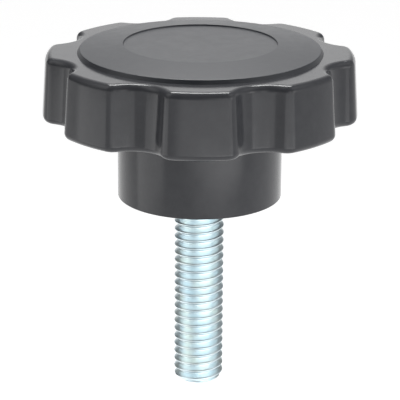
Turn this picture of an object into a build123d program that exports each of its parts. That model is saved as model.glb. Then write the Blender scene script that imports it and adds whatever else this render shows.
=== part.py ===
from build123d import *
import math
import os

# Eight-lobed clamping knob with a steel stud, in millimetres.
# Z runs along the knob's axis from the stud to the cap, and z = 0 is the hub's seat face.
# One lobe points along each of +X, -X, +Y and -Y, with one more between each pair.

# Lobed head
head_diameter = 60.0
head_thickness = 12.6
lobe_count = 8
flute_radius = 5.7
flute_depth = 3.2
lobe_corner_radius = 3.0
smallest_corner_radius = 0.25
head_draft_angle = 3.6
head_top_rounding = 1.7
head_top_rounding_steps = 4
head_bottom_rounding = 1.3
head_bottom_rounding_steps = 3

# Hub below the head
hub_diameter = 31.4
hub_height = 15.5
hub_seat_chamfer = 0.2

# Coring of the head and hub
head_web_thickness = 3.0
hub_wall_thickness = 2.8
hub_floor_thickness = 3.0
boss_wall_thickness = 2.0
rib_thickness = 1.8

# Cap: a flange on the head's top face and a ring that snaps into the recess
cap_diameter = 46.5
cap_rim_height = 0.75
cap_rim_taper = 0.4
cap_crown_height = 1.8
cap_middle_diameter = 29.2
cap_middle_step = 0.25
cap_plate_thickness = 1.6
cap_flange_overhang = 2.2
cap_ring_depth = 4.2
cap_ring_thickness = 1.4
cap_ring_lead_in = 0.5
snap_bead_height = 0.35
snap_bead_depth = 2.6
cap_clearance = 0.15

# Stud: 3/8-16 thread, 1 1/2 inches long. Its hexagon head, 1/2 inch across the flats, is moulded into the boss
thread_major_diameter = 9.525
stud_length = 38.1
stud_end_chamfer_length = 1.1
stud_end_diameter = 7.2
stud_neck_diameter = 8.4
stud_head_across_flats = 12.7
stud_head_height = 6.35
stud_hole_countersink = 0.9

# Places that follow from the sizes above
head_top = hub_height + head_thickness
recess_floor = hub_height + head_web_thickness
recess_diameter = cap_diameter - 2 * cap_flange_overhang
cap_ring_diameter = recess_diameter - 2 * cap_clearance
boss_diameter = stud_head_across_flats / math.cos(math.pi / 6) + 2 * boss_wall_thickness
hub_core_diameter = hub_diameter - 2 * hub_wall_thickness
bead_middle = head_top - snap_bead_depth


def head_plan(inset):
    """Outline of the head, set in by an amount all round: a disc with round flutes and rounded lobe corners."""
    flute_centre_radius = head_diameter / 2 - flute_depth + flute_radius
    flutes = PolarLocations(flute_centre_radius, lobe_count, 180 / lobe_count) * Circle(flute_radius + inset)
    plan = Circle(head_diameter / 2 - inset) - flutes
    return fillet(plan.vertices(), max(lobe_corner_radius - inset, smallest_corner_radius))


def rounded_edge(centre_height, radius, start_angle, end_angle, steps):
    """Inset and height of the head's outline at each step round one rounded edge of its drafted side."""
    draft_angle = math.radians(head_draft_angle)
    centre_inset = (centre_height - hub_height) * math.tan(draft_angle) + radius / math.cos(draft_angle)
    levels = []
    for step in range(steps + 1):
        angle = math.radians(start_angle + (end_angle - start_angle) * step / steps)
        levels.append((centre_inset - radius * math.cos(angle), centre_height + radius * math.sin(angle)))
    return levels


def lobed_head():
    """The head, lofted through its outlines from the underside, up its drafted side in two bands, to the top face."""
    bottom_edge = rounded_edge(
        hub_height + head_bottom_rounding, head_bottom_rounding, -90, head_draft_angle, head_bottom_rounding_steps
    )
    top_edge = rounded_edge(
        head_top - head_top_rounding, head_top_rounding, head_draft_angle, 90, head_top_rounding_steps
    )
    (low_inset, low), (high_inset, high) = bottom_edge[-1], top_edge[0]
    side_middle = ((low_inset + high_inset) / 2, (low + high) / 2)
    levels = [*bottom_edge, side_middle, *top_edge]
    outlines = [Plane.XY.offset(height) * head_plan(inset) for inset, height in levels]
    return loft(outlines, ruled=True)


def hub():
    """The round hub, with a nearly sharp edge round its seat face."""
    column = extrude(Circle(hub_diameter / 2), hub_height)
    return chamfer(column.faces().sort_by(Axis.Z)[0].edges(), hub_seat_chamfer)


def bead_section(radius, height):
    """Half section of a snap bead or of its groove: a low ridge round the ring."""
    return [
        (radius, bead_middle - 2 * height),
        (radius + height, bead_middle),
        (radius, bead_middle + 2 * height),
    ]


def head_recess():
    """Space of the round recess under the cap, with the groove that takes the cap's snap bead."""
    radius = recess_diameter / 2
    section = Polyline(
        (0, recess_floor),
        (radius, recess_floor),
        *bead_section(radius, snap_bead_height),
        (radius, head_top),
        (0, head_top),
        close=True,
    )
    return revolve(Plane.XZ * make_face(section), Axis.Z)


def hub_cores():
    """Pockets in the hub between its wall, the boss on the axis and the radial ribs."""
    ring = Circle(hub_core_diameter / 2) - Circle(boss_diameter / 2)
    ribs = Sketch() + PolarLocations(0, lobe_count) * Rectangle(
        hub_core_diameter, rib_thickness, align=(Align.MIN, Align.CENTER)
    )
    return extrude(Plane.XY.offset(hub_floor_thickness) * (ring - ribs), recess_floor - hub_floor_thickness)


def stud_head():
    """The stud's hexagon head, which rests on the hub's floor and can't turn in the boss."""
    hexagon = RegularPolygon(stud_head_across_flats / 2, 6, major_radius=False)
    return extrude(Plane.XY.offset(hub_floor_thickness) * hexagon, stud_head_height)


def threaded_stud():
    """The stud, with its thread as a plain rod of the major diameter and a narrower neck through the hub's floor."""
    thread_radius = thread_major_diameter / 2
    neck_radius = stud_neck_diameter / 2
    section = Polyline(
        (0, -stud_length),
        (stud_end_diameter / 2, -stud_length),
        (thread_radius, stud_end_chamfer_length - stud_length),
        (thread_radius, 0),
        (neck_radius, 0),
        (neck_radius, hub_floor_thickness),
        (0, hub_floor_thickness),
        close=True,
    )
    return revolve(Plane.XZ * make_face(section), Axis.Z) + stud_head()


def stud_socket():
    """Space that the stud takes in the body, countersunk at the seat face to clear the end of the thread."""
    rim_radius = thread_major_diameter / 2 + stud_hole_countersink
    countersink = Cone(rim_radius, 0, rim_radius, align=(Align.CENTER, Align.CENTER, Align.MIN))
    return threaded_stud() + countersink


def knob_body():
    """One moulding: the lobed head and the hub, cored from above, gripping the stud's head."""
    body = lobed_head() + hub()
    return body - head_recess() - hub_cores() - stud_socket()


def cap_profile():
    """Half section of the cap in the XZ plane, from the axis outwards."""
    rim_radius = cap_diameter / 2
    rim_top_radius = rim_radius - cap_rim_taper
    ring_outer = cap_ring_diameter / 2
    ring_inner = ring_outer - cap_ring_thickness
    ring_end = head_top - cap_ring_depth
    middle_radius = cap_middle_diameter / 2
    crown = head_top + cap_crown_height
    middle_top = crown - cap_middle_step
    section = Polyline(
        (0, middle_top),
        (middle_radius, middle_top),
        (middle_radius, crown),
        (rim_top_radius, head_top + cap_rim_height),
        (rim_radius, head_top),
        (ring_outer, head_top),
        *reversed(bead_section(ring_outer, snap_bead_height)),
        (ring_outer, ring_end + cap_ring_lead_in),
        (ring_outer - cap_ring_lead_in, ring_end),
        (ring_inner, ring_end),
        (ring_inner, middle_top - cap_plate_thickness),
        (0, middle_top - cap_plate_thickness),
        close=True,
    )
    return Plane.XZ * make_face(section)


def cap():
    """The cap, turned from its section."""
    return revolve(cap_profile(), Axis.Z)


nodes = {
    "knob_body": knob_body(),
    "cap": cap(),
    "threaded_stud": threaded_stud(),
}

os.makedirs("parts", exist_ok=True)
for name, solid in nodes.items():
    export_step(solid, f"parts/{name}.step")
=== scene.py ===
import math

import bmesh
import bpy
from mathutils import Matrix, Vector


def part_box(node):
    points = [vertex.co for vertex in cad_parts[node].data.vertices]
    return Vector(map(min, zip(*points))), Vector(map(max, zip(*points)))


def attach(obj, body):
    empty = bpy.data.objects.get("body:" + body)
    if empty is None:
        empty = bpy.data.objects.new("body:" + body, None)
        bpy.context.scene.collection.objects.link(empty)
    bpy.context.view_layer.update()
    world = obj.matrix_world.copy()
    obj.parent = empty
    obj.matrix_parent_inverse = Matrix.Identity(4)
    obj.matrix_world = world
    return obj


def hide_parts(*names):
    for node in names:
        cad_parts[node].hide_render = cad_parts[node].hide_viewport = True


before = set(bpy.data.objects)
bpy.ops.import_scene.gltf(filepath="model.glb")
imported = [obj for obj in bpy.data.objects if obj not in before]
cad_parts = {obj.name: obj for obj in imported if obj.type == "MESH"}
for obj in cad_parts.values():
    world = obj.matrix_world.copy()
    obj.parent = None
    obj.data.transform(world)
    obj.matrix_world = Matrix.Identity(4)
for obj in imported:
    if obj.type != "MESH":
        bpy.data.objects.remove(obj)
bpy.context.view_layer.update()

# The knob's body is one injection moulding in dark grey plastic: a head with eight rounded lobes for the
# fingers, and a short round hub under it. It is cored out from above, and the stud is moulded into it.
mm = 0.001
body_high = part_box("knob_body")[1]
lobe_count = 8
head_edge_setback = 0.087 * mm
head_radius = body_high[0] + head_edge_setback
head_top = body_high[2]
head_thickness = 12.6 * mm
head_bottom = head_top - head_thickness
flute_radius = 5.7 * mm
flute_depth = 3.2 * mm
lobe_corner_radius = 3.0 * mm
head_draft = math.radians(3.6)
head_top_rounding = 1.35 * mm
head_bottom_rounding = 1.3 * mm
hub_radius = 15.7 * mm
hub_seat_rounding = 0.2 * mm
hub_root_rounding = 0.8 * mm
hub_floor = 3.0 * mm
hub_core_radius = 12.9 * mm
boss_radius = 9.33 * mm
rib_thickness = 1.8 * mm
recess_radius = 21.05 * mm
web_thickness = 3.0 * mm
recess_floor = head_bottom + web_thickness
snap_groove_down = 2.6 * mm
snap_groove_height = head_top - snap_groove_down
snap_groove_depth = 0.35 * mm
stud_hole_radius = 4.2 * mm
countersink_radius = 5.66 * mm
edge_guard = 0.06 * mm
cut_margin = 1.0 * mm
join_distance = 0.0005 * mm


def polar(radius, angle):
    """A point of the plan at a distance from the axis and an angle round it."""
    return Vector((radius * math.cos(angle), radius * math.sin(angle)))


def arc(centre, radius, start, end, steps):
    """Points past an arc's start, with their outward normals. A hollow arc's radius is negative."""
    angles = [start + (end - start) * step / steps for step in range(1, steps + 1)]
    return [(centre + polar(radius, angle), polar(1, angle)) for angle in angles]


def lobe_outline():
    """The head's outline at its underside with its normals, from one lobe's middle to the next one's."""
    middle = math.pi / lobe_count
    corner_reach = head_radius - lobe_corner_radius
    flute_reach = head_radius - flute_depth + flute_radius
    touching = flute_radius + lobe_corner_radius
    cosine = (corner_reach ** 2 + flute_reach ** 2 - touching ** 2) / (2 * corner_reach * flute_reach)
    corner_angle = middle - math.acos(cosine)
    corner = polar(corner_reach, corner_angle)
    flute = polar(flute_reach, middle)
    flute_start = math.atan2(flute.y - corner.y, flute.x - corner.x)
    half = [(polar(head_radius, 0), polar(1, 0))]
    half += arc(Vector((0, 0)), head_radius, 0, corner_angle, steps=8)
    half += arc(corner, lobe_corner_radius, corner_angle, flute_start, steps=12)
    half += arc(flute, -flute_radius, flute_start, middle, steps=12)
    turn = 2 * middle
    mirror = Matrix(((math.cos(turn), math.sin(turn)), (math.sin(turn), -math.cos(turn))))
    other_half = [(mirror @ point, mirror @ normal) for point, normal in reversed(half[:-1])]
    return half + other_half


def bend(centre, radius, start, end, steps):
    """Points of a rounded edge in a half section, as distance from the axis and height."""
    angles = [math.radians(start + (end - start) * step / steps) for step in range(steps + 1)]
    reach, height = centre
    return [(reach + radius * math.cos(angle), height + radius * math.sin(angle)) for angle in angles]


def head_edge(height, radius, start, end, steps):
    """Inset and height along a rounded edge of the head, whose side leans inwards with its draft."""
    inset = (height - head_bottom) * math.tan(head_draft) + radius / math.cos(head_draft)
    return [(inset - x, z) for x, z in bend((0, height), radius, start, end, steps)]


def placed(name, data):
    """A new object in the scene, for a mesh, a lamp or a camera."""
    made = bpy.data.objects.new(name, data)
    bpy.context.scene.collection.objects.link(made)
    return made


def mesh_piece(name, points, faces):
    """A mesh object made of points and faces."""
    mesh = bpy.data.meshes.new(name)
    mesh.from_pydata(points, [], faces)
    return placed(name, mesh)


def skin(name, rings):
    """A mesh object whose faces join each ring of points to the next."""
    columns = len(rings[0])
    points = [point for ring in rings for point in ring]
    faces = []
    for row in range(len(rings) - 1):
        for column in range(columns - 1):
            first = row * columns + column
            faces.append((first, first + 1, first + columns + 1, first + columns))
    return mesh_piece(name, points, faces)


def turned(name, section, columns=192):
    """A piece turned about the knob's axis from its half section, which starts and ends on the axis."""
    angles = [2 * math.pi * column / columns for column in range(columns + 1)]
    rings = [[(*polar(radius, angle), height) for angle in angles] for radius, height in section]
    piece = skin(name, rings)
    weld(piece.data)
    return piece


def weld(mesh, distance=1e-7):
    """Joins a mesh's loose edges and turns its faces outwards."""
    solid = bmesh.new()
    solid.from_mesh(mesh)
    bmesh.ops.remove_doubles(solid, verts=solid.verts, dist=distance)
    bmesh.ops.recalc_face_normals(solid, faces=solid.faces)
    solid.to_mesh(mesh)
    solid.free()


def plain_piece(source, name):
    """The source object with its modifiers made into a plain mesh, in place of the source."""
    graph = bpy.context.evaluated_depsgraph_get()
    mesh = bpy.data.meshes.new_from_object(source.evaluated_get(graph), depsgraph=graph)
    bpy.data.objects.remove(source)
    mesh.name = name
    return placed(name, mesh)


def shade(piece, sharp_angle):
    """Smooth shading, but for edges that are sharper than an angle."""
    piece.data.shade_smooth()
    piece.data.set_sharp_from_angle(angle=math.radians(sharp_angle))


def feed(tree, socket, value):
    """Links a socket to another node's output, or sets it to a plain value."""
    if isinstance(value, bpy.types.NodeSocket):
        tree.links.new(value, socket)
    else:
        socket.default_value = value


def feed_all(tree, made, inputs):
    """Feeds a node's inputs by their names, which have an underscore for a space."""
    for name, value in inputs.items():
        feed(tree, made.inputs[name.replace("_", " ")], value)
    return made


def node(tree, kind, **inputs):
    """A node with its inputs fed."""
    return feed_all(tree, tree.nodes.new(kind), inputs)


def maths(tree, operation, *values):
    """The output of a maths node."""
    made = tree.nodes.new("ShaderNodeMath")
    made.operation = operation
    for socket, value in zip(made.inputs, values):
        feed(tree, socket, value)
    return made.outputs[0]


def ranged(tree, value, low, high, first, last):
    """A value that goes from its first to its last while another goes from low to high."""
    scaled = node(
        tree, "ShaderNodeMapRange", Value=value, From_Min=low, From_Max=high, To_Min=first, To_Max=last
    )
    return scaled.outputs["Result"]


def geometry_tree(name, sizes):
    """An empty geometry tree and its named inputs: a piece, its sizes, a join distance and a material."""
    tree = bpy.data.node_groups.new(name, "GeometryNodeTree")
    kinds = {
        "Geometry": "NodeSocketGeometry", **sizes,
        "Join Distance": "NodeSocketFloat", "Material": "NodeSocketMaterial",
    }
    for size, kind in kinds.items():
        tree.interface.new_socket(size, in_out="INPUT", socket_type=kind)
    tree.interface.new_socket("Geometry", in_out="OUTPUT", socket_type="NodeSocketGeometry")
    return tree, tree.nodes.new("NodeGroupInput").outputs


def end_tree(tree, size, geometry):
    """Ends a geometry tree: copies made real, points that meet joined, and the material put on."""
    real = node(tree, "GeometryNodeRealizeInstances", Geometry=geometry)
    joined = node(
        tree, "GeometryNodeMergeByDistance", Geometry=real.outputs[0], Distance=size["Join Distance"]
    )
    painted = node(tree, "GeometryNodeSetMaterial", Geometry=joined.outputs[0], Material=size["Material"])
    node(tree, "NodeGroupOutput", Geometry=painted.outputs[0])
    return tree


def add_tree(piece, tree, **values):
    """Puts a geometry tree on a piece, with its named inputs set."""
    modifier = piece.modifiers.new(tree.name, "NODES")
    modifier.node_group = tree
    given = [item for item in tree.interface.items_tree if item.in_out == "INPUT"]
    identifiers = {item.name: item.identifier for item in given}
    for name, value in values.items():
        modifier[identifiers[name.replace("_", " ")]] = value


def repeat_tree():
    """Repeats one sector round the knob's axis and joins the copies into one skin."""
    tree, size = geometry_tree("repeat_round_axis", {"Count": "NodeSocketInt"})
    centres = node(tree, "GeometryNodePoints", Count=size["Count"])
    index = tree.nodes.new("GeometryNodeInputIndex")
    step = maths(tree, "DIVIDE", 2 * math.pi, size["Count"])
    turn = node(tree, "ShaderNodeCombineXYZ", Z=maths(tree, "MULTIPLY", index.outputs[0], step))
    copies = node(
        tree, "GeometryNodeInstanceOnPoints",
        Points=centres.outputs[0], Instance=size["Geometry"], Rotation=turn.outputs[0],
    )
    return end_tree(tree, size, copies.outputs[0])


def body_rings(outline):
    """Rings of points over one sector of the body, from the seat face's middle to the top face's."""
    def round_ring(radius, height):
        return [(*(point.normalized() * radius), height) for point, _ in outline]

    def lobed_ring(inset, height):
        return [(*(point - normal * inset), height) for point, normal in outline]

    draft = math.degrees(head_draft)
    seat_centre = (hub_radius - hub_seat_rounding, hub_seat_rounding)
    seat_edge = bend(seat_centre, hub_seat_rounding, -90, 0, steps=4)
    root_centre = (hub_radius + hub_root_rounding, head_bottom - hub_root_rounding)
    root = bend(root_centre, hub_root_rounding, 180, 90, steps=6)
    bottom_edge = head_edge(head_bottom + head_bottom_rounding, head_bottom_rounding, -90, draft, steps=10)
    top_edge = head_edge(head_top - head_top_rounding, head_top_rounding, draft, 90, steps=12)
    rings = [round_ring(0, 0), round_ring(seat_edge[0][0] - edge_guard, 0)]
    rings += [round_ring(radius, height) for radius, height in seat_edge + root]
    rings.append(round_ring(root[-1][0] + edge_guard, head_bottom))
    rings.append(lobed_ring(bottom_edge[0][0] + edge_guard, head_bottom))
    rings += [lobed_ring(inset, height) for inset, height in bottom_edge + top_edge]
    rings.append(lobed_ring(top_edge[-1][0] + edge_guard, head_top))
    rings.append(round_ring(recess_radius + cut_margin, head_top))
    rings.append(round_ring(0, head_top))
    return rings


def core_pocket():
    """One pocket of the hub's coring, between two ribs, as a prism that reaches up into the recess."""
    sector = 2 * math.pi / lobe_count
    steps = 10

    def wall(radius):
        start = math.asin(rib_thickness / 2 / radius)
        angles = [start + (sector - 2 * start) * step / steps for step in range(steps + 1)]
        return [polar(radius, angle) for angle in angles]

    plan = wall(hub_core_radius) + wall(boss_radius)[::-1]
    heights = (hub_floor, recess_floor + cut_margin)
    points = [(*point, height) for height in heights for point in plan]
    count = len(plan)
    faces = [list(range(count)), list(range(count, 2 * count))]
    for corner in range(count):
        following = (corner + 1) % count
        faces.append((corner, following, following + count, corner + count))
    piece = mesh_piece("core_pocket", points, faces)
    weld(piece.data)
    return piece


def merged_copy(cad_node):
    """A copy of a node's mesh with its loose triangles joined."""
    piece = placed("merged_copy", cad_node.data.copy())
    weld(piece.data, distance=1e-6)
    return piece


def cut(piece, tools):
    """The piece with the tools' shapes cut out of it."""
    for tool in tools:
        modifier = piece.modifiers.new("cut", "BOOLEAN")
        modifier.operation = "DIFFERENCE"
        modifier.solver = "EXACT"
        modifier.object = tool
    result = plain_piece(piece, piece.name)
    for tool in tools:
        bpy.data.objects.remove(tool)
    return result


def value_group(name, sizes, results):
    """An empty shader group that gives only colours, masks, values and normals."""
    group = bpy.data.node_groups.new(name, "ShaderNodeTree")
    for size, kind in sizes.items():
        group.interface.new_socket(size, in_out="INPUT", socket_type=kind)
    for result, kind in results.items():
        group.interface.new_socket(result, in_out="OUTPUT", socket_type=kind)
    return group, group.nodes.new("NodeGroupInput"), group.nodes.new("NodeGroupOutput")


wave_scale = 130.0
mottle_scale = 420.0


def moulded_grain():
    """Fine grain of a moulded skin over its slow unevenness, and a mottle for colour and gloss."""
    group, given, result = value_group(
        "moulded_grain",
        {
            "Grain Scale": "NodeSocketFloat", "Grain Depth": "NodeSocketFloat",
            "Wave Depth": "NodeSocketFloat",
        },
        {"Mottle": "NodeSocketFloat", "Normal": "NodeSocketVector"},
    )
    place = group.nodes.new("ShaderNodeTexCoord").outputs["Object"]
    fine_scale = given.outputs["Grain Scale"]
    grain = node(group, "ShaderNodeTexNoise", Vector=place, Scale=fine_scale, Detail=2.0)
    waves = node(group, "ShaderNodeTexNoise", Vector=place, Scale=wave_scale, Detail=1.0)
    mottle = node(group, "ShaderNodeTexNoise", Vector=place, Scale=mottle_scale, Detail=4.0, Roughness=0.6)
    high = maths(group, "MULTIPLY", grain.outputs[0], given.outputs["Grain Depth"])
    slow = maths(group, "MULTIPLY", waves.outputs[0], given.outputs["Wave Depth"])
    height = maths(group, "ADD", high, slow)
    relief = node(group, "ShaderNodeBump", Strength=1.0, Distance=1.0, Height=height)
    group.links.new(mottle.outputs[0], result.inputs["Mottle"])
    group.links.new(relief.outputs[0], result.inputs["Normal"])
    return group


def group_node(tree, group, **inputs):
    """A group placed in a tree, with its inputs fed."""
    made = tree.nodes.new("ShaderNodeGroup")
    made.node_tree = group
    return feed_all(tree, made, inputs)


def tones(tree, mask, stops):
    """The colours that follow a mask. Each stop is a value of the mask and the colour there."""
    made = node(tree, "ShaderNodeValToRGB", Fac=mask)
    ramp = made.color_ramp.elements
    ramp.remove(ramp[1])
    first_value, first_colour = stops[0]
    ramp[0].position = first_value
    ramp[0].color = (*first_colour, 1)
    for value, colour in stops[1:]:
        ramp.new(value).color = (*colour, 1)
    return made.outputs["Color"]


def shaded_material(name):
    """A new material, its tree and its shader."""
    material = bpy.data.materials.new(name)
    material.use_nodes = True
    return material, material.node_tree, material.node_tree.nodes["Principled BSDF"]


def plastic(name, grain, colours, roughness, specular):
    """Moulded plastic: two close greys and two close roughnesses, mixed by the grain's mottle."""
    material, tree, shader = shaded_material(name)
    skin_grain = group_node(tree, grain_group, **grain)
    mottle = skin_grain.outputs["Mottle"]
    feed(tree, shader.inputs["Base Color"], tones(tree, mottle, list(zip(mottle_span, colours))))
    feed(tree, shader.inputs["Roughness"], ranged(tree, mottle, *mottle_span, *roughness))
    feed(tree, shader.inputs["Normal"], skin_grain.outputs["Normal"])
    shader.inputs["IOR"].default_value = 1.5
    shader.inputs["Specular IOR Level"].default_value = specular
    return material


grain_group = moulded_grain()
mottle_span = (0.3, 0.7)
body_plastic = plastic(
    "dark_satin_plastic",
    grain={"Grain Scale": 9000.0, "Grain Depth": 0.004 * mm, "Wave Depth": 0.03 * mm},
    colours=((0.042, 0.0432, 0.0485), (0.05, 0.0512, 0.0565)),
    roughness=(0.13, 0.17),
    specular=0.3,
)
repeat = repeat_tree()
outer_skin = skin("knob_body_moulding", body_rings(lobe_outline()))
add_tree(outer_skin, repeat, Count=lobe_count, Join_Distance=join_distance, Material=body_plastic)
outer_skin = plain_piece(outer_skin, "knob_body_moulding")
weld(outer_skin.data)
recess_tool = turned("recess_tool", [
    (0, recess_floor),
    (recess_radius, recess_floor),
    (recess_radius, snap_groove_height - 2 * snap_groove_depth),
    (recess_radius + snap_groove_depth, snap_groove_height),
    (recess_radius, snap_groove_height + 2 * snap_groove_depth),
    (recess_radius, head_top + cut_margin),
    (0, head_top + cut_margin),
])
pocket_tool = core_pocket()
add_tree(pocket_tool, repeat, Count=lobe_count, Join_Distance=join_distance, Material=body_plastic)
pocket_tool = plain_piece(pocket_tool, "pocket_tool")
countersink_tool = turned("countersink_tool", [
    (0, -cut_margin),
    (countersink_radius + cut_margin, -cut_margin),
    (stud_hole_radius, countersink_radius - stud_hole_radius),
    (0, countersink_radius - stud_hole_radius),
])
socket_tool = merged_copy(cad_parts["threaded_stud"])
moulding = cut(outer_skin, [recess_tool, pocket_tool, countersink_tool, socket_tool])
moulding.data.materials.clear()
moulding.data.materials.append(body_plastic)
shade(moulding, sharp_angle=28)
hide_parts("knob_body")
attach(moulding, "root")

# The cover is a separate moulding in the same dark grey with a coarser, duller skin. It snaps into the
# body's recess by the ring under it, its thin rim lies on the head, and its middle is a shallow round step
# down.
cap_low, cap_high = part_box("cap")
cap_radius = cap_high[0]
cap_crown = cap_high[2]
cap_rim_taper = 0.4 * mm
cap_rim_height = 0.75 * mm
cap_rim_rounding = 0.22 * mm
cap_rim_centre_in = 0.1716 * mm
cap_rim_centre_down = 0.2024 * mm
cap_middle_radius = 14.6 * mm
cap_middle_step = 0.25 * mm
cap_step_run = 0.12 * mm
cap_plate_thickness = 1.6 * mm
cap_ring_radius = 20.9 * mm
cap_ring_thickness = 1.4 * mm
cap_ring_lead_in = 0.5 * mm
gate_dish_radius = 6.2 * mm
gate_dish_depth = 0.05 * mm


def gate_dish(level):
    """Half section of the shallow dish in the middle of the cover, at the level of the face round it."""
    steps = 12
    points = []
    for step in range(steps + 1):
        share = step / steps
        fall = gate_dish_depth * (1 + math.cos(math.pi * share)) / 2
        points.append((gate_dish_radius * share, level - fall))
    return points


def cap_top(middle_top):
    """Half section of the cover's top: the middle, the step up to the crown, and the rounded rim."""
    rim_reach = cap_radius - cap_rim_taper
    rim_height = head_top + cap_rim_height
    slope = math.atan2(cap_crown - rim_height, rim_reach - cap_middle_radius)
    rim_lean = math.atan2(cap_rim_taper, cap_rim_height)
    rim_centre = (rim_reach - cap_rim_centre_in, rim_height - cap_rim_centre_down)
    rim = bend(rim_centre, cap_rim_rounding, 90 - math.degrees(slope), math.degrees(rim_lean), steps=8)
    step_foot = cap_middle_radius - cap_step_run
    middle_edge = [
        (step_foot - edge_guard, middle_top),
        (step_foot, middle_top),
        (cap_middle_radius, cap_crown),
        (cap_middle_radius + edge_guard, cap_crown - edge_guard * math.tan(slope)),
    ]
    return gate_dish(middle_top) + middle_edge + rim


def cap_section():
    """Half section of the cover, from the middle of its top over its rim and ring to the middle below."""
    middle_top = cap_crown - cap_middle_step
    plate_bottom = middle_top - cap_plate_thickness
    ring_inner = cap_ring_radius - cap_ring_thickness
    ring_end = cap_low[2]
    return cap_top(middle_top) + [
        (cap_radius, head_top),
        (cap_ring_radius, head_top),
        (cap_ring_radius, snap_groove_height + 2 * snap_groove_depth),
        (cap_ring_radius + snap_groove_depth, snap_groove_height),
        (cap_ring_radius, snap_groove_height - 2 * snap_groove_depth),
        (cap_ring_radius, ring_end + cap_ring_lead_in),
        (cap_ring_radius - cap_ring_lead_in, ring_end),
        (ring_inner, ring_end),
        (ring_inner, plate_bottom),
        (0, plate_bottom),
    ]


cap_plastic = plastic(
    "dark_matt_plastic",
    grain={"Grain Scale": 5200.0, "Grain Depth": 0.014 * mm, "Wave Depth": 0.03 * mm},
    colours=((0.018, 0.0205, 0.027), (0.023, 0.0258, 0.0325)),
    roughness=(0.38, 0.44),
    specular=0.6,
)
cover = turned("cap_cover", cap_section(), columns=256)
cover.data.materials.append(cap_plastic)
shade(cover, sharp_angle=28)
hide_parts("cap")
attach(cover, "root")

# The stud is steel, with a rolled right-hand 3/8-16 thread and bright blue zinc plating. Its hexagon head
# and plain neck are moulded into the body's boss, and its free end is chamfered.
stud_low, stud_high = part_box("threaded_stud")
stud_length = -stud_low[2]
thread_radius = 4.7625 * mm
thread_pitch = 25.4 * mm / 16
thread_depth_share = 0.6134
thread_crest_share = 1 / 8
thread_root_share = 1 / 8
thread_turns = math.ceil(stud_length / thread_pitch) + 2
thread_runout = 1.6 * mm
thread_phase = 0.909
end_chamfer = 1.1 * mm
end_radius = 3.6 * mm
neck_radius = stud_hole_radius
head_corner_radius = stud_high[0]
head_height = stud_high[2]
thread_columns = 96
rows_per_pitch = 16


def thread_groove(tree, size, height, climb):
    """How deep the thread is at a height: deepest between its crests, and fading out towards the hub."""
    pitches = maths(tree, "DIVIDE", maths(tree, "SUBTRACT", height, climb), size["Pitch"])
    cycle = maths(tree, "WRAP", maths(tree, "ADD", pitches, size["Phase"]), 0.5, -0.5)
    from_crest = maths(tree, "ABSOLUTE", cycle)
    flank = ranged(tree, from_crest, thread_crest_share / 2, (1 - thread_root_share) / 2, 0.0, 1.0)
    fade = maths(tree, "DIVIDE", maths(tree, "MULTIPLY", height, -1), size["Runout"])
    deepest = maths(tree, "MULTIPLY", size["Depth"], maths(tree, "MINIMUM", fade, 1))
    return maths(tree, "MULTIPLY", deepest, flank)


def chamfered_radius(tree, size, height, end):
    """Radius of the plain rod at a height, with the chamfer at its free end."""
    rise = maths(tree, "DIVIDE", maths(tree, "SUBTRACT", height, end), size["Chamfer"])
    gain = maths(tree, "SUBTRACT", size["Radius"], size["End Radius"])
    return maths(tree, "MULTIPLY_ADD", maths(tree, "MINIMUM", rise, 1), gain, size["End Radius"])


def wound_point(tree, size):
    """Where a point of a flat grid goes on the rod: round it, along it with the thread, and in or out."""
    flat = tree.nodes.new("GeometryNodeInputPosition").outputs[0]
    place = node(tree, "ShaderNodeSeparateXYZ", Vector=flat)
    turn = maths(tree, "ADD", place.outputs["X"], 0.5)
    along = maths(tree, "ADD", place.outputs["Y"], 0.5)
    span = maths(tree, "MULTIPLY", size["Turns"], size["Pitch"])
    lowest = maths(tree, "MULTIPLY", maths(tree, "ADD", size["Length"], size["Pitch"]), -1)
    climb = maths(tree, "MULTIPLY", turn, size["Pitch"])
    free = maths(tree, "ADD", maths(tree, "MULTIPLY_ADD", along, span, lowest), climb)
    end = maths(tree, "MULTIPLY", size["Length"], -1)
    height = maths(tree, "MINIMUM", maths(tree, "MAXIMUM", free, end), 0)
    threaded = maths(tree, "SUBTRACT", size["Radius"], thread_groove(tree, size, height, climb))
    radius = maths(tree, "MINIMUM", threaded, chamfered_radius(tree, size, height, end))
    angle = maths(tree, "MULTIPLY", turn, 2 * math.pi)
    point = node(
        tree, "ShaderNodeCombineXYZ", Z=height,
        X=maths(tree, "MULTIPLY", radius, maths(tree, "COSINE", angle)),
        Y=maths(tree, "MULTIPLY", radius, maths(tree, "SINE", angle)),
    )
    return point.outputs[0]


def thread_tree():
    """Winds a flat grid into a rod with a thread rolled along it, and joins it at its seam and ends."""
    lengths = ("Length", "Radius", "Pitch", "Depth", "Phase", "End Radius", "Chamfer", "Runout")
    counts = ("Turns", "Columns", "Rows per Pitch")
    sizes = dict.fromkeys(lengths, "NodeSocketFloat") | dict.fromkeys(counts, "NodeSocketInt")
    tree, size = geometry_tree("rolled_thread", sizes)
    rows = maths(tree, "MULTIPLY", size["Turns"], size["Rows per Pitch"])
    grid = node(
        tree, "GeometryNodeMeshGrid", Size_X=1.0, Size_Y=1.0,
        Vertices_X=maths(tree, "ADD", size["Columns"], 1), Vertices_Y=maths(tree, "ADD", rows, 1),
    )
    place = wound_point(tree, size)
    wound = node(tree, "GeometryNodeSetPosition", Geometry=grid.outputs[0], Position=place)
    return end_tree(tree, size, wound.outputs[0])


def neck_point(x, y):
    """The point of the neck in the direction of another point."""
    return Vector((x, y)).normalized() * neck_radius


def hexagon_point(x, y):
    """The point of the head's hexagon in the direction of another point. Two corners lie on the X axis."""
    angle = math.atan2(y, x)
    side_angle = (angle % (math.pi / 3)) - math.pi / 6
    return polar(head_corner_radius * math.cos(math.pi / 6) / math.cos(side_angle), angle)


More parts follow.
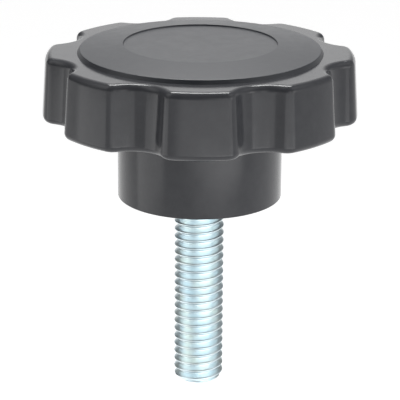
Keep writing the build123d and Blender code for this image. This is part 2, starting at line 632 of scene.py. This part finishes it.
def close_stud(mesh):
    """Adds the neck and the hexagon head above the thread, and closes both ends."""
    solid = bmesh.new()
    solid.from_mesh(mesh)
    rims = [edge for edge in solid.edges if edge.is_boundary]
    lower = [edge for edge in rims if edge.verts[0].co.z < -stud_length / 2]
    upper = [edge for edge in rims if edge.verts[0].co.z > -stud_length / 2]
    bmesh.ops.holes_fill(solid, edges=lower, sides=0)
    steps = (
        (neck_point, 0),
        (neck_point, hub_floor),
        (hexagon_point, hub_floor),
        (hexagon_point, head_height),
    )
    for spot, height in steps:
        grown = bmesh.ops.extrude_edge_only(solid, edges=upper)["geom"]
        upper = [part for part in grown if isinstance(part, bmesh.types.BMEdge) and part.is_boundary]
        for vertex in {vertex for edge in upper for vertex in edge.verts}:
            vertex.co = (*spot(*vertex.co.xy), height)
    bmesh.ops.holes_fill(solid, edges=upper, sides=0)
    bmesh.ops.recalc_face_normals(solid, faces=solid.faces)
    solid.to_mesh(mesh)
    solid.free()


tint_scale = 260.0
zinc_tints = [(0.32, (0.70, 0.83, 0.88)), (0.5, (0.74, 0.85, 0.89)), (0.68, (0.78, 0.87, 0.86))]
zinc_roughness = (0.28, 0.4)
mark_scale = 1800.0
mark_depth = 0.007 * mm
mark_stretch = (1, 1, 9)


def zinc_plating():
    """Bright zinc on rolled steel: faint blue and straw tints, and fine marks round the thread."""
    material, tree, shader = shaded_material("blue_zinc_plating")
    place = tree.nodes.new("ShaderNodeTexCoord").outputs["Object"]
    patches = node(tree, "ShaderNodeTexNoise", Vector=place, Scale=tint_scale, Detail=2.0)
    squeezed = node(tree, "ShaderNodeMapping", Vector=place, Scale=mark_stretch)
    marks = node(tree, "ShaderNodeTexNoise", Vector=squeezed.outputs[0], Scale=mark_scale, Detail=3.0)
    relief = node(tree, "ShaderNodeBump", Strength=1.0, Distance=mark_depth, Height=marks.outputs[0])
    feed(tree, shader.inputs["Base Color"], tones(tree, patches.outputs[0], zinc_tints))
    feed(tree, shader.inputs["Roughness"], ranged(tree, marks.outputs[0], *mottle_span, *zinc_roughness))
    feed(tree, shader.inputs["Normal"], relief.outputs[0])
    shader.inputs["Metallic"].default_value = 0.9
    return material


stud = placed("threaded_stud_steel", bpy.data.meshes.new("stud_blank"))
add_tree(
    stud, thread_tree(), Length=stud_length, Radius=thread_radius, Pitch=thread_pitch,
    Depth=thread_depth_share * thread_pitch, Turns=thread_turns, Phase=thread_phase, End_Radius=end_radius,
    Chamfer=end_chamfer, Runout=thread_runout, Columns=thread_columns, Rows_per_Pitch=rows_per_pitch,
    Join_Distance=join_distance, Material=zinc_plating(),
)
stud = plain_piece(stud, "threaded_stud_steel")
close_stud(stud.data)
shade(stud, sharp_angle=35)
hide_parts("threaded_stud")
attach(stud, "root")

# The floor is a plain pale sheet, well below the knob. The camera and the gloss of the metal and the
# plastic see it as white, and it keeps the knob's soft shadow.
floor_height = -0.5
floor_half = 16.0
floor_grey = 0.8
floor_glow = 0.58


def seen_directly(tree):
    """One for the rays that see the stage itself: the camera's, and those by way of gloss or glass."""
    path = tree.nodes.new("ShaderNodeLightPath")
    seen = maths(tree, "MAXIMUM", path.outputs["Is Camera Ray"], path.outputs["Is Glossy Ray"])
    return maths(tree, "MAXIMUM", seen, path.outputs["Is Transmission Ray"])


def pale_floor():
    """Dull pale paint that also glows where it is seen directly."""
    material, tree, shader = shaded_material("pale_floor")
    shader.inputs["Base Color"].default_value = (floor_grey, floor_grey, floor_grey, 1)
    shader.inputs["Roughness"].default_value = 1.0
    shader.inputs["Specular IOR Level"].default_value = 0.0
    shader.inputs["Emission Color"].default_value = (1, 1, 1, 1)
    glow = maths(tree, "MULTIPLY", seen_directly(tree), floor_glow)
    feed(tree, shader.inputs["Emission Strength"], glow)
    return material


floor_corners = [
    (x * floor_half, y * floor_half, floor_height)
    for x, y in ((-1, -1), (1, -1), (1, 1), (-1, 1))
]
floor = mesh_piece("floor", floor_corners, [(0, 1, 2, 3)])
floor.data.materials.append(pale_floor())

# The studio is a dim room with soft panels of light round the knob: wide ones behind it and at both sides,
# and low ones round its right half, the strongest in front to the right. Beyond the floor's far edge a
# white backdrop goes on up to a little above the horizon.
world = bpy.data.worlds.new("studio")
bpy.context.scene.world = world
world.use_nodes = True
sky = world.node_tree


def panel_glow():
    """The light of one soft panel along a direction, brightest towards its middle."""
    group, given, result = value_group(
        "soft_panel",
        {
            "Direction": "NodeSocketVector", "Towards": "NodeSocketVector",
            "Tightness": "NodeSocketFloat", "Level": "NodeSocketFloat",
        },
        {"Glow": "NodeSocketFloat"},
    )
    meeting = group.nodes.new("ShaderNodeVectorMath")
    meeting.operation = "DOT_PRODUCT"
    group.links.new(given.outputs["Direction"], meeting.inputs[0])
    group.links.new(given.outputs["Towards"], meeting.inputs[1])
    off_middle = maths(group, "SUBTRACT", meeting.outputs["Value"], 1.0)
    fall = maths(group, "EXPONENT", maths(group, "MULTIPLY", off_middle, given.outputs["Tightness"]))
    group.links.new(maths(group, "MULTIPLY", fall, given.outputs["Level"]), result.inputs["Glow"])
    return group


def heading(azimuth, elevation):
    """The direction at an azimuth, counted to the right from the camera's side, and an elevation."""
    turn = math.radians(azimuth)
    rise = math.radians(elevation)
    return Vector((math.sin(turn) * math.cos(rise), -math.cos(turn) * math.cos(rise), math.sin(rise)))


panel_group = panel_glow()
room_level = 0.02
panels = {
    "rear_high": (180, 42, 16.0, 1.1),
    "rear_low": (180, 9, 28.0, 1.15),
    "left_high": (-90, 57, 14.0, 1.2),
    "left": (-80, 32, 18.0, 0.8),
    "right_high": (88, 50, 14.0, 1.1),
    "right": (92, 8, 30.0, 1.0),
    "right_rear": (122, 8, 30.0, 0.75),
    "right_front": (60, 8, 30.0, 3.4),
    "front": (22, 8, 26.0, 2.2),
}
sky_light = room_level
sky_direction = sky.nodes.new("ShaderNodeTexCoord").outputs["Generated"]
for name, (azimuth, elevation, tightness, level) in panels.items():
    towards = heading(azimuth, elevation)
    panel = group_node(
        sky, panel_group, Direction=sky_direction, Towards=towards, Tightness=tightness, Level=level
    )
    panel.name = name
    sky_light = maths(sky, "ADD", sky_light, panel.outputs["Glow"])
backdrop_top = math.sin(math.radians(5.0))
backdrop_fade = math.sin(math.radians(7.0))
sky_height = node(sky, "ShaderNodeSeparateXYZ", Vector=sky_direction).outputs["Z"]
backdrop = ranged(sky, sky_height, backdrop_fade, backdrop_top, 0.0, 1.0)
sky_light = maths(sky, "MAXIMUM", sky_light, maths(sky, "MULTIPLY", backdrop, seen_directly(sky)))
sky.links.new(sky_light, sky.nodes["Background"].inputs["Strength"])
sky.nodes["Background"].inputs["Color"].default_value = (1, 1, 1, 1)

# Softboxes add to the panels: a bright one overhead, behind the knob, makes the line of light round the
# head's top edge, and low ones in front and at the left light the faces of the lobes and the hub.


def softbox(name, towards, distance, width, depth, level):
    """An area lamp that faces the knob from a direction. Its level is the light that one sees in it."""
    lamp = bpy.data.lights.new(name, "AREA")
    lamp.shape = "RECTANGLE"
    lamp.size = width
    lamp.size_y = depth
    lamp.energy = level * math.pi * width * depth
    stand = placed(name, lamp)
    stand.location = towards * distance
    stand.rotation_euler = (-towards).to_track_quat("-Z", "Y").to_euler()
    stand.visible_camera = False


softbox("overhead", heading(180, 65), distance=1.0, width=0.55, depth=0.38, level=13.0)
softbox("front_fill", heading(22, -15), distance=0.63, width=0.95, depth=0.3, level=1.15)
softbox("hub_fill", heading(32, -20), distance=0.64, width=0.75, depth=0.12, level=1.6)
softbox("left_fill", heading(-75, -16), distance=0.63, width=0.5, depth=0.26, level=1.2)

# The camera stands in front of the knob, about 0.42 m away, and looks down on it by 18.4 degrees. It is
# turned a little about its own line of sight.
camera_place = Vector((0.026, -395.85, 130.498)) * mm
camera_pitch = math.radians(18.419)
camera_yaw = math.radians(0.013)
camera_roll = math.radians(0.38)
camera_data = bpy.data.cameras.new("photo_camera")
camera_data.sensor_width = 36.0
camera_data.lens = 194.49
camera_data.clip_start = 0.01
camera = placed("photo_camera", camera_data)
plumb = Vector((0, 0, 1))
sideways = Vector((math.cos(camera_yaw), -math.sin(camera_yaw), 0))
forward = plumb.cross(sideways) * math.cos(camera_pitch) - plumb * math.sin(camera_pitch)
upright = sideways.cross(forward)
right = sideways * math.cos(camera_roll) + upright * math.sin(camera_roll)
up = upright * math.cos(camera_roll) - sideways * math.sin(camera_roll)
camera_turn = Matrix((right, up, -forward)).transposed().to_4x4()
camera.matrix_world = Matrix.Translation(camera_place) @ camera_turn
bpy.context.scene.camera = camera
bpy.context.scene.view_settings.view_transform = "Standard"
